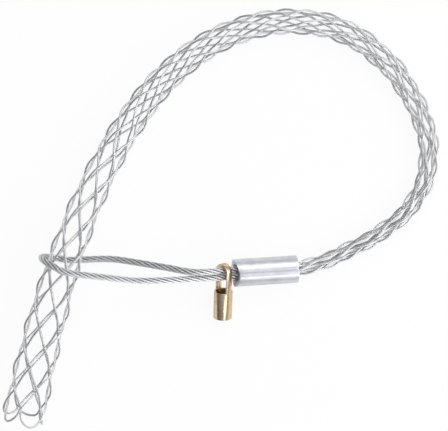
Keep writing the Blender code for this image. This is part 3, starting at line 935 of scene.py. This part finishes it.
def brass():
    """Turned and milled brass: fine rings round the barrel, warm dull patches, and painted shade with a
    duller finish inside the hole.
    """
    m = Metal("turned_brass")
    where = m.place(own=True)
    rings = m.noise(m.place((0.02, 0.02, 1), own=True), 5200, detail=2, roughness=0.6)
    film = m.noise(where, 260, detail=4, roughness=0.6)
    specks = m.noise(where, 1900, detail=3, roughness=0.7)
    colour = m.ramp(film, (0.3, 0.52, 0.72), BRASS)
    colour = m.mix(m.ranged(specks, 0.66, 0.74, 0, 0.3), colour, BRASS_SPOTS)

    # Painted shade in the hole, from just inside the foot up to the shoulder
    _, _, bottom, shoulder = end_heights()
    radius = m.node("ShaderNodeVectorMath", operation="LENGTH")
    m.link(m.place((1, 1, 0), own=True), radius.inputs[0])
    height = m.reach(where, (0, 0, 1))
    inside = m.ranged(radius.outputs["Value"], 3.7 * MM, 3.95 * MM, 1, 0)
    below = m.ranged(height, shoulder + 0.2 * MM, shoulder + 0.45 * MM, 1, 0)
    above = m.ranged(height, bottom + 0.3 * MM, bottom + 1.5 * MM, 0, 1)
    hole = m.maths("MULTIPLY", m.maths("MULTIPLY", inside, below), above)
    colour = m.mix(hole, colour, BRASS_HOLE_SHADE)
    rough = m.maths("MULTIPLY_ADD", hole, 0.3, m.ranged(rings, 0.3, 0.7, 0.17, 0.27))
    return m.finish(colour, rough, m.bump(rings, 0.03 * MM, strength=0.12))


# Floor, light and camera


def seen_share(n, camera, glossy):
    """The share of plain white that is seen: one by the camera and through glass, one in metal."""
    path = n.node("ShaderNodeLightPath")
    total = 0
    for ray, share in (("Camera", camera), ("Transmission", camera), ("Glossy", glossy)):
        total = n.maths("MULTIPLY_ADD", path.outputs[f"Is {ray} Ray"], share, total, clamp=True)
    return total


def floor_material():
    """A white floor that keeps a soft part of the shadow."""
    material = bpy.data.materials.new("white_floor")
    material.use_nodes = True
    n = Nodes(material.node_tree)
    n.tree.nodes.clear()
    matte = n.node("ShaderNodeBsdfDiffuse")
    matte.inputs["Color"].default_value = (0.93, 0.93, 0.93, 1)
    glow = n.node("ShaderNodeEmission")
    glow.inputs["Color"].default_value = (1, 1, 1, 1)
    glow.inputs["Strength"].default_value = 1.0
    mix = n.node("ShaderNodeMixShader")
    n.link(seen_share(n, camera=0.92, glossy=0.2), mix.inputs["Fac"])
    n.link(matte.outputs[0], mix.inputs[1])
    n.link(glow.outputs[0], mix.inputs[2])
    n.link(mix.outputs[0], n.node("ShaderNodeOutputMaterial").inputs["Surface"])
    return material


def make_floor():
    shape = bmesh.new()
    bmesh.ops.create_grid(shape, x_segments=1, y_segments=1, size=FLOOR_REACH)
    floor = link_mesh("floor", shape, Matrix.Translation((0, 0, -FLOOR_DROP)))
    floor.data.materials.append(floor_material())


def make_world():
    """Plain light from above, brighter at the right and the back, and dimmer low down."""
    world = bpy.data.worlds.new("studio")
    bpy.context.scene.world = world
    world.use_nodes = True
    n = Nodes(world.node_tree)
    sky = n.tree.nodes["Background"]
    n.feed(SKY_COLOUR, sky.inputs["Color"])
    way = n.node("ShaderNodeTexCoord").outputs["Generated"]
    level = n.maths("ADD", n.reach(way, SKY_LEAN), SKY_LEVEL)
    height = n.ranged(n.reach(way, (0, 0, 1)), 0.05, 0.5, 0.4, 1)
    n.link(n.maths("MULTIPLY", level, height), sky.inputs["Strength"])


def make_softbox(name, place, size, power):
    """An oblong lamp that faces the origin."""
    lamp = bpy.data.lights.new(name, "AREA")
    lamp.shape = "RECTANGLE"
    lamp.size, lamp.size_y = size
    lamp.energy = power
    obj = bpy.data.objects.new(name, lamp)
    obj.location = place
    obj.rotation_mode = "QUATERNION"
    obj.rotation_quaternion = (-Vector(place)).to_track_quat("-Z", "Y")
    bpy.context.scene.collection.objects.link(obj)


def make_camera():
    """Straight above the middle of the picture, with a long lens, as the photo was taken."""
    camera = bpy.data.cameras.new("camera")
    camera.lens = LENS
    camera.sensor_width = SENSOR_WIDTH
    camera.clip_start = 50 * MM
    camera.clip_end = 20000 * MM
    eye = bpy.data.objects.new("camera", camera)
    bpy.context.scene.collection.objects.link(eye)
    eye.location = (SHIFT.x, SHIFT.y, MIDDLE_HEIGHT + PICTURE_WIDTH * LENS / SENSOR_WIDTH)
    bpy.context.scene.camera = eye
    bpy.context.scene.view_settings.view_transform = "Standard"


# Putting it together


def dress(obj, material, body, node):
    obj.data.materials.clear()
    obj.data.materials.append(material)
    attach(obj, body)
    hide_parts(node)


def make_sock():
    steel = wire_steel("sock_wire", *SOCK_STEEL)
    for strand in range(STRANDS):
        name = f"sock_wires_{strand + 1}"
        centres = even_centres(strand_route(strand), WIRE_STEP)
        piece = stranded_wire(name, centres, WIRE_D, STRAND_D, WIRE_LAY, SOCK_SEED + strand)
        dress(piece, steel, "grip", f"mesh_strand_{strand + 1}")


def make_rope():
    """The strands' wires. The core keeps its solid and gets a material."""
    steel = wire_steel("rope_wire", *ROPE_STEEL)
    route = eye_route()
    for strand in range(ROPE_STRANDS):
        name = f"rope_wires_{strand + 1}"
        centres, outward = rope_strand_centres(route, strand)
        seed = ROPE_SEED + strand
        piece = stranded_wire(name, centres, ROPE_WIRE_D, ROPE_STRAND_D, ROPE_WIRE_LAY, seed, outward)
        dress(piece, steel, "grip", f"rope_strand_{strand + 1}")
    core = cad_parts["rope_core"]
    core.data.materials.clear()
    core.data.materials.append(core_steel())


def main():
    make_sock()
    make_rope()
    dress(make_sleeve(), aluminium(), "grip", "pressed_sleeve")
    dress(make_end(), brass(), "end", "threaded_end")
    make_floor()
    make_world()
    for softbox in SOFTBOXES:
        make_softbox(*softbox)
    make_camera()


main()
